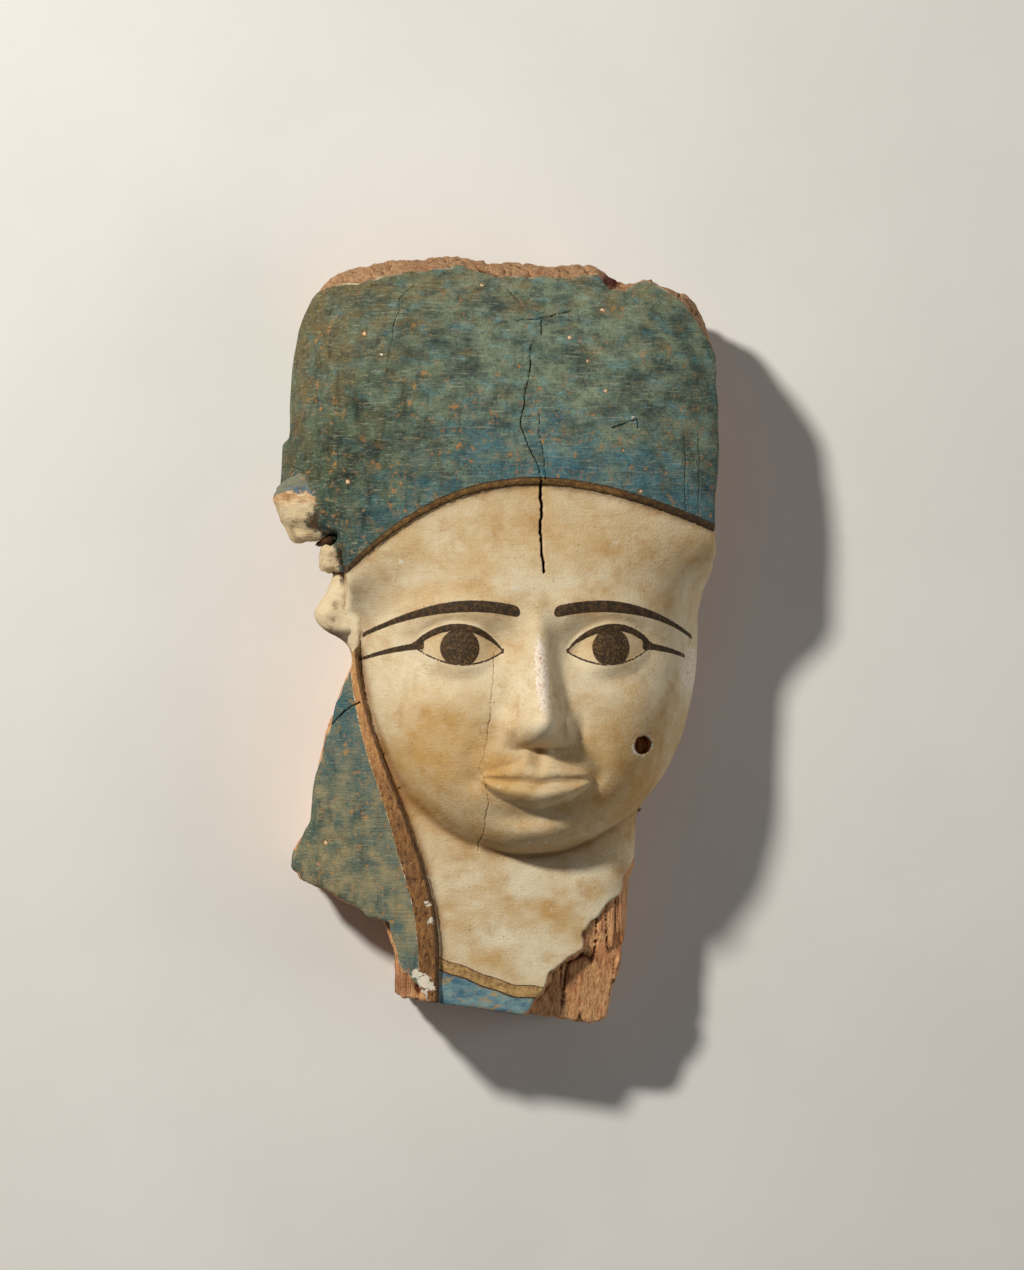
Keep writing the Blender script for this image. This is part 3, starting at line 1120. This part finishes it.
def painted_wood_material():
    n = MaskNodes("gessoed painted wood")
    zone = n.zone
    gesso = gesso_colour(n, zone["patina"], zone["cavity"])
    dark = dark_colour(n)
    on_lappet = n.times(n.inside("lappet"), n.ramp(zone["above_hairline"], 1, -1))
    blue_zone = n.math("MAXIMUM", n.inside("above_hairline"), on_lappet)
    wig = wig_colour(n, zone["above_hairline"], on_lappet)

    skin = n.mix(blue_zone, gesso, wig)
    skin = lappet_border(n, skin, dark)
    skin = hairline(n, skin, dark)
    skin = collar(n, skin, dark)
    skin = n.mix(n.inside("dark_paint", 0.2, n.fine_edge), skin, dark)
    skin = n.mix(n.inside("iris", 0.2, n.fine_edge), skin, iris_colour(n))

    loss = n.plus(n.spots(9, 71, 0.16, 0.35), n.noise(1.6, 72, detail=3), 0.07)
    lost = n.times(n.ramp(loss, -0.015, 0.02), blue_zone)
    skin = n.mix(lost, skin, n.between(n.ramp(loss, 0.03, 0.09), "#a9713f", "#d8c6a4"))
    skin = worn_places(n, skin)
    on_ear = n.inside("ear")
    skin = n.mix(on_ear, skin, ear_colour(n, gesso, wig, zone))
    gesso_edge = n.band("bare", -0.9, 0.15, 0.2, n.edge)
    skin = n.paint(skin, "#d2c4a4", gesso_edge, n.patches(-0.1, 1.0, 9, 74, detail=3))

    bare = n.times(n.inside("bare"), n.math("SUBTRACT", 1.0, on_ear))
    wood = wood_colour(n, zone["cavity"], zone["above_hairline"], zone["soot"])
    surface = n.mix(bare, skin, wood)
    surface = n.paint(surface, "#1d1510", n.ramp(zone["crack"], -0.25, 0.2), 0.95)
    bump_node = {"Height": fine_relief(n, lost, blue_zone, bare), "Strength": 1.0, "Distance": MM}
    n.link(surface, "Base Color")
    n.link(n.ramp(n.noise(3, 81, detail=4), -1.0, 1.0, 0.68, 0.86), "Roughness")
    n.link(n.add("ShaderNodeBump", bump_node).outputs[0], "Normal")
    n.shader.inputs["Specular IOR Level"].default_value = 0.3
    return n.material


# The piece, in metres in the frame's own coordinates.
def object_of(name, data):
    made = bpy.data.objects.new(name, data)
    bpy.context.scene.collection.objects.link(made)
    return made


def painted_mask():
    points, triangles = form_mesh()
    points = worn_surface(points, vertex_normals(points, triangles))
    zones = zones_of(points, triangles)
    middle = (points.min(0) + points.max(0)) / 2
    low, high = (np.array(corner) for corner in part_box("mask"))
    placed = (points - middle) * MM + (low + high) / 2
    placed[:, 2] = points[:, 2] * MM
    mesh = bpy.data.meshes.new("painted_mask")
    mesh.from_pydata(placed.tolist(), [], triangles.tolist())
    for name in ZONES:
        attribute = mesh.attributes.new(name, "FLOAT", "POINT")
        attribute.data.foreach_set("value", zones[name].astype(np.float32))
    mesh.polygons.foreach_set("use_smooth", np.ones(len(triangles), bool))
    mesh.materials.append(painted_wood_material())
    print("painted_mask", len(points), "vertices", len(triangles), "triangles")
    return object_of("painted_mask", mesh), (low + high) / 2 - middle * MM


# Floor, lights and camera.
PHOTO_HEIGHT = 1270
MM_PER_PIXEL = 0.53
VIEW_YAW = math.radians(7)
CAMERA_DISTANCE = 2.6
CAMERA_PLANE = 80.0
AIM_RIGHT = MM_PER_PIXEL
AIM_Y = 208.3
FIELD_HEIGHT = MM_PER_PIXEL * PHOTO_HEIGHT
SENSOR = 36.0
KEY = ((-0.55, 0.44, 0.71), 2.2, 0.2, 46, (1.0, 0.96, 0.89))
FILL = ((0.95, -0.1, 0.5), 2.6, 1.6, 12, (1.0, 0.97, 0.94))


def pale_floor():
    mesh = bpy.data.meshes.new("floor")
    half = 6.0
    corners = [(-half, -half, 0), (half, -half, 0), (half, half, 0), (-half, half, 0)]
    mesh.from_pydata(corners, [], [(0, 1, 2, 3)])
    n = Nodes("pale floor")
    n.link(n.between(n.patches(-1.0, 1.0, 160, 1, detail=4), "#e6e4df", "#ebe9e5"), "Base Color")
    n.shader.inputs["Roughness"].default_value = 0.85
    mesh.materials.append(n.material)
    floor = object_of("floor", mesh)
    floor.location.z = -0.2 * MM


def area_light(name, direction, distance, size, watts, tint):
    data = bpy.data.lights.new(name, "AREA")
    data.shape = "DISK"
    data.size = size
    data.energy = watts
    data.color = tint
    light = object_of(name, data)
    unit = Vector(direction).normalized()
    light.location = unit * distance
    light.rotation_euler = unit.to_track_quat("Z", "Y").to_euler()


def studio():
    pale_floor()
    area_light("key", *KEY)
    area_light("fill", *FILL)
    world = bpy.data.worlds.new("soft studio")
    world.use_nodes = True
    background = world.node_tree.nodes["Background"]
    background.inputs["Color"].default_value = (0.95, 0.97, 1.0, 1)
    background.inputs["Strength"].default_value = 0.08
    bpy.context.scene.world = world
    bpy.context.scene.view_settings.view_transform = "Standard"


def add_camera(design_origin):
    """Looks down along the photograph's view: a long lens, a little to the left of the mask's front."""
    out = Vector((-math.sin(VIEW_YAW), 0, math.cos(VIEW_YAW)))
    right = Vector((math.cos(VIEW_YAW), 0, math.sin(VIEW_YAW)))
    middle = Vector((0, AIM_Y, 0)) + right * AIM_RIGHT + out * (CAMERA_PLANE - right.z * AIM_RIGHT) / out.z
    data = bpy.data.cameras.new("camera")
    data.sensor_fit = "VERTICAL"
    data.sensor_height = SENSOR
    data.lens = SENSOR * CAMERA_DISTANCE / (FIELD_HEIGHT * MM)
    camera = object_of("camera", data)
    camera.location = Vector(design_origin) + middle * MM + out * CAMERA_DISTANCE
    camera.rotation_euler = Matrix((right, Vector((0, 1, 0)), out)).transposed().to_euler()
    bpy.context.scene.camera = camera


piece, design_origin = painted_mask()
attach(piece, "root")
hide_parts("mask")
studio()
add_camera(design_origin)
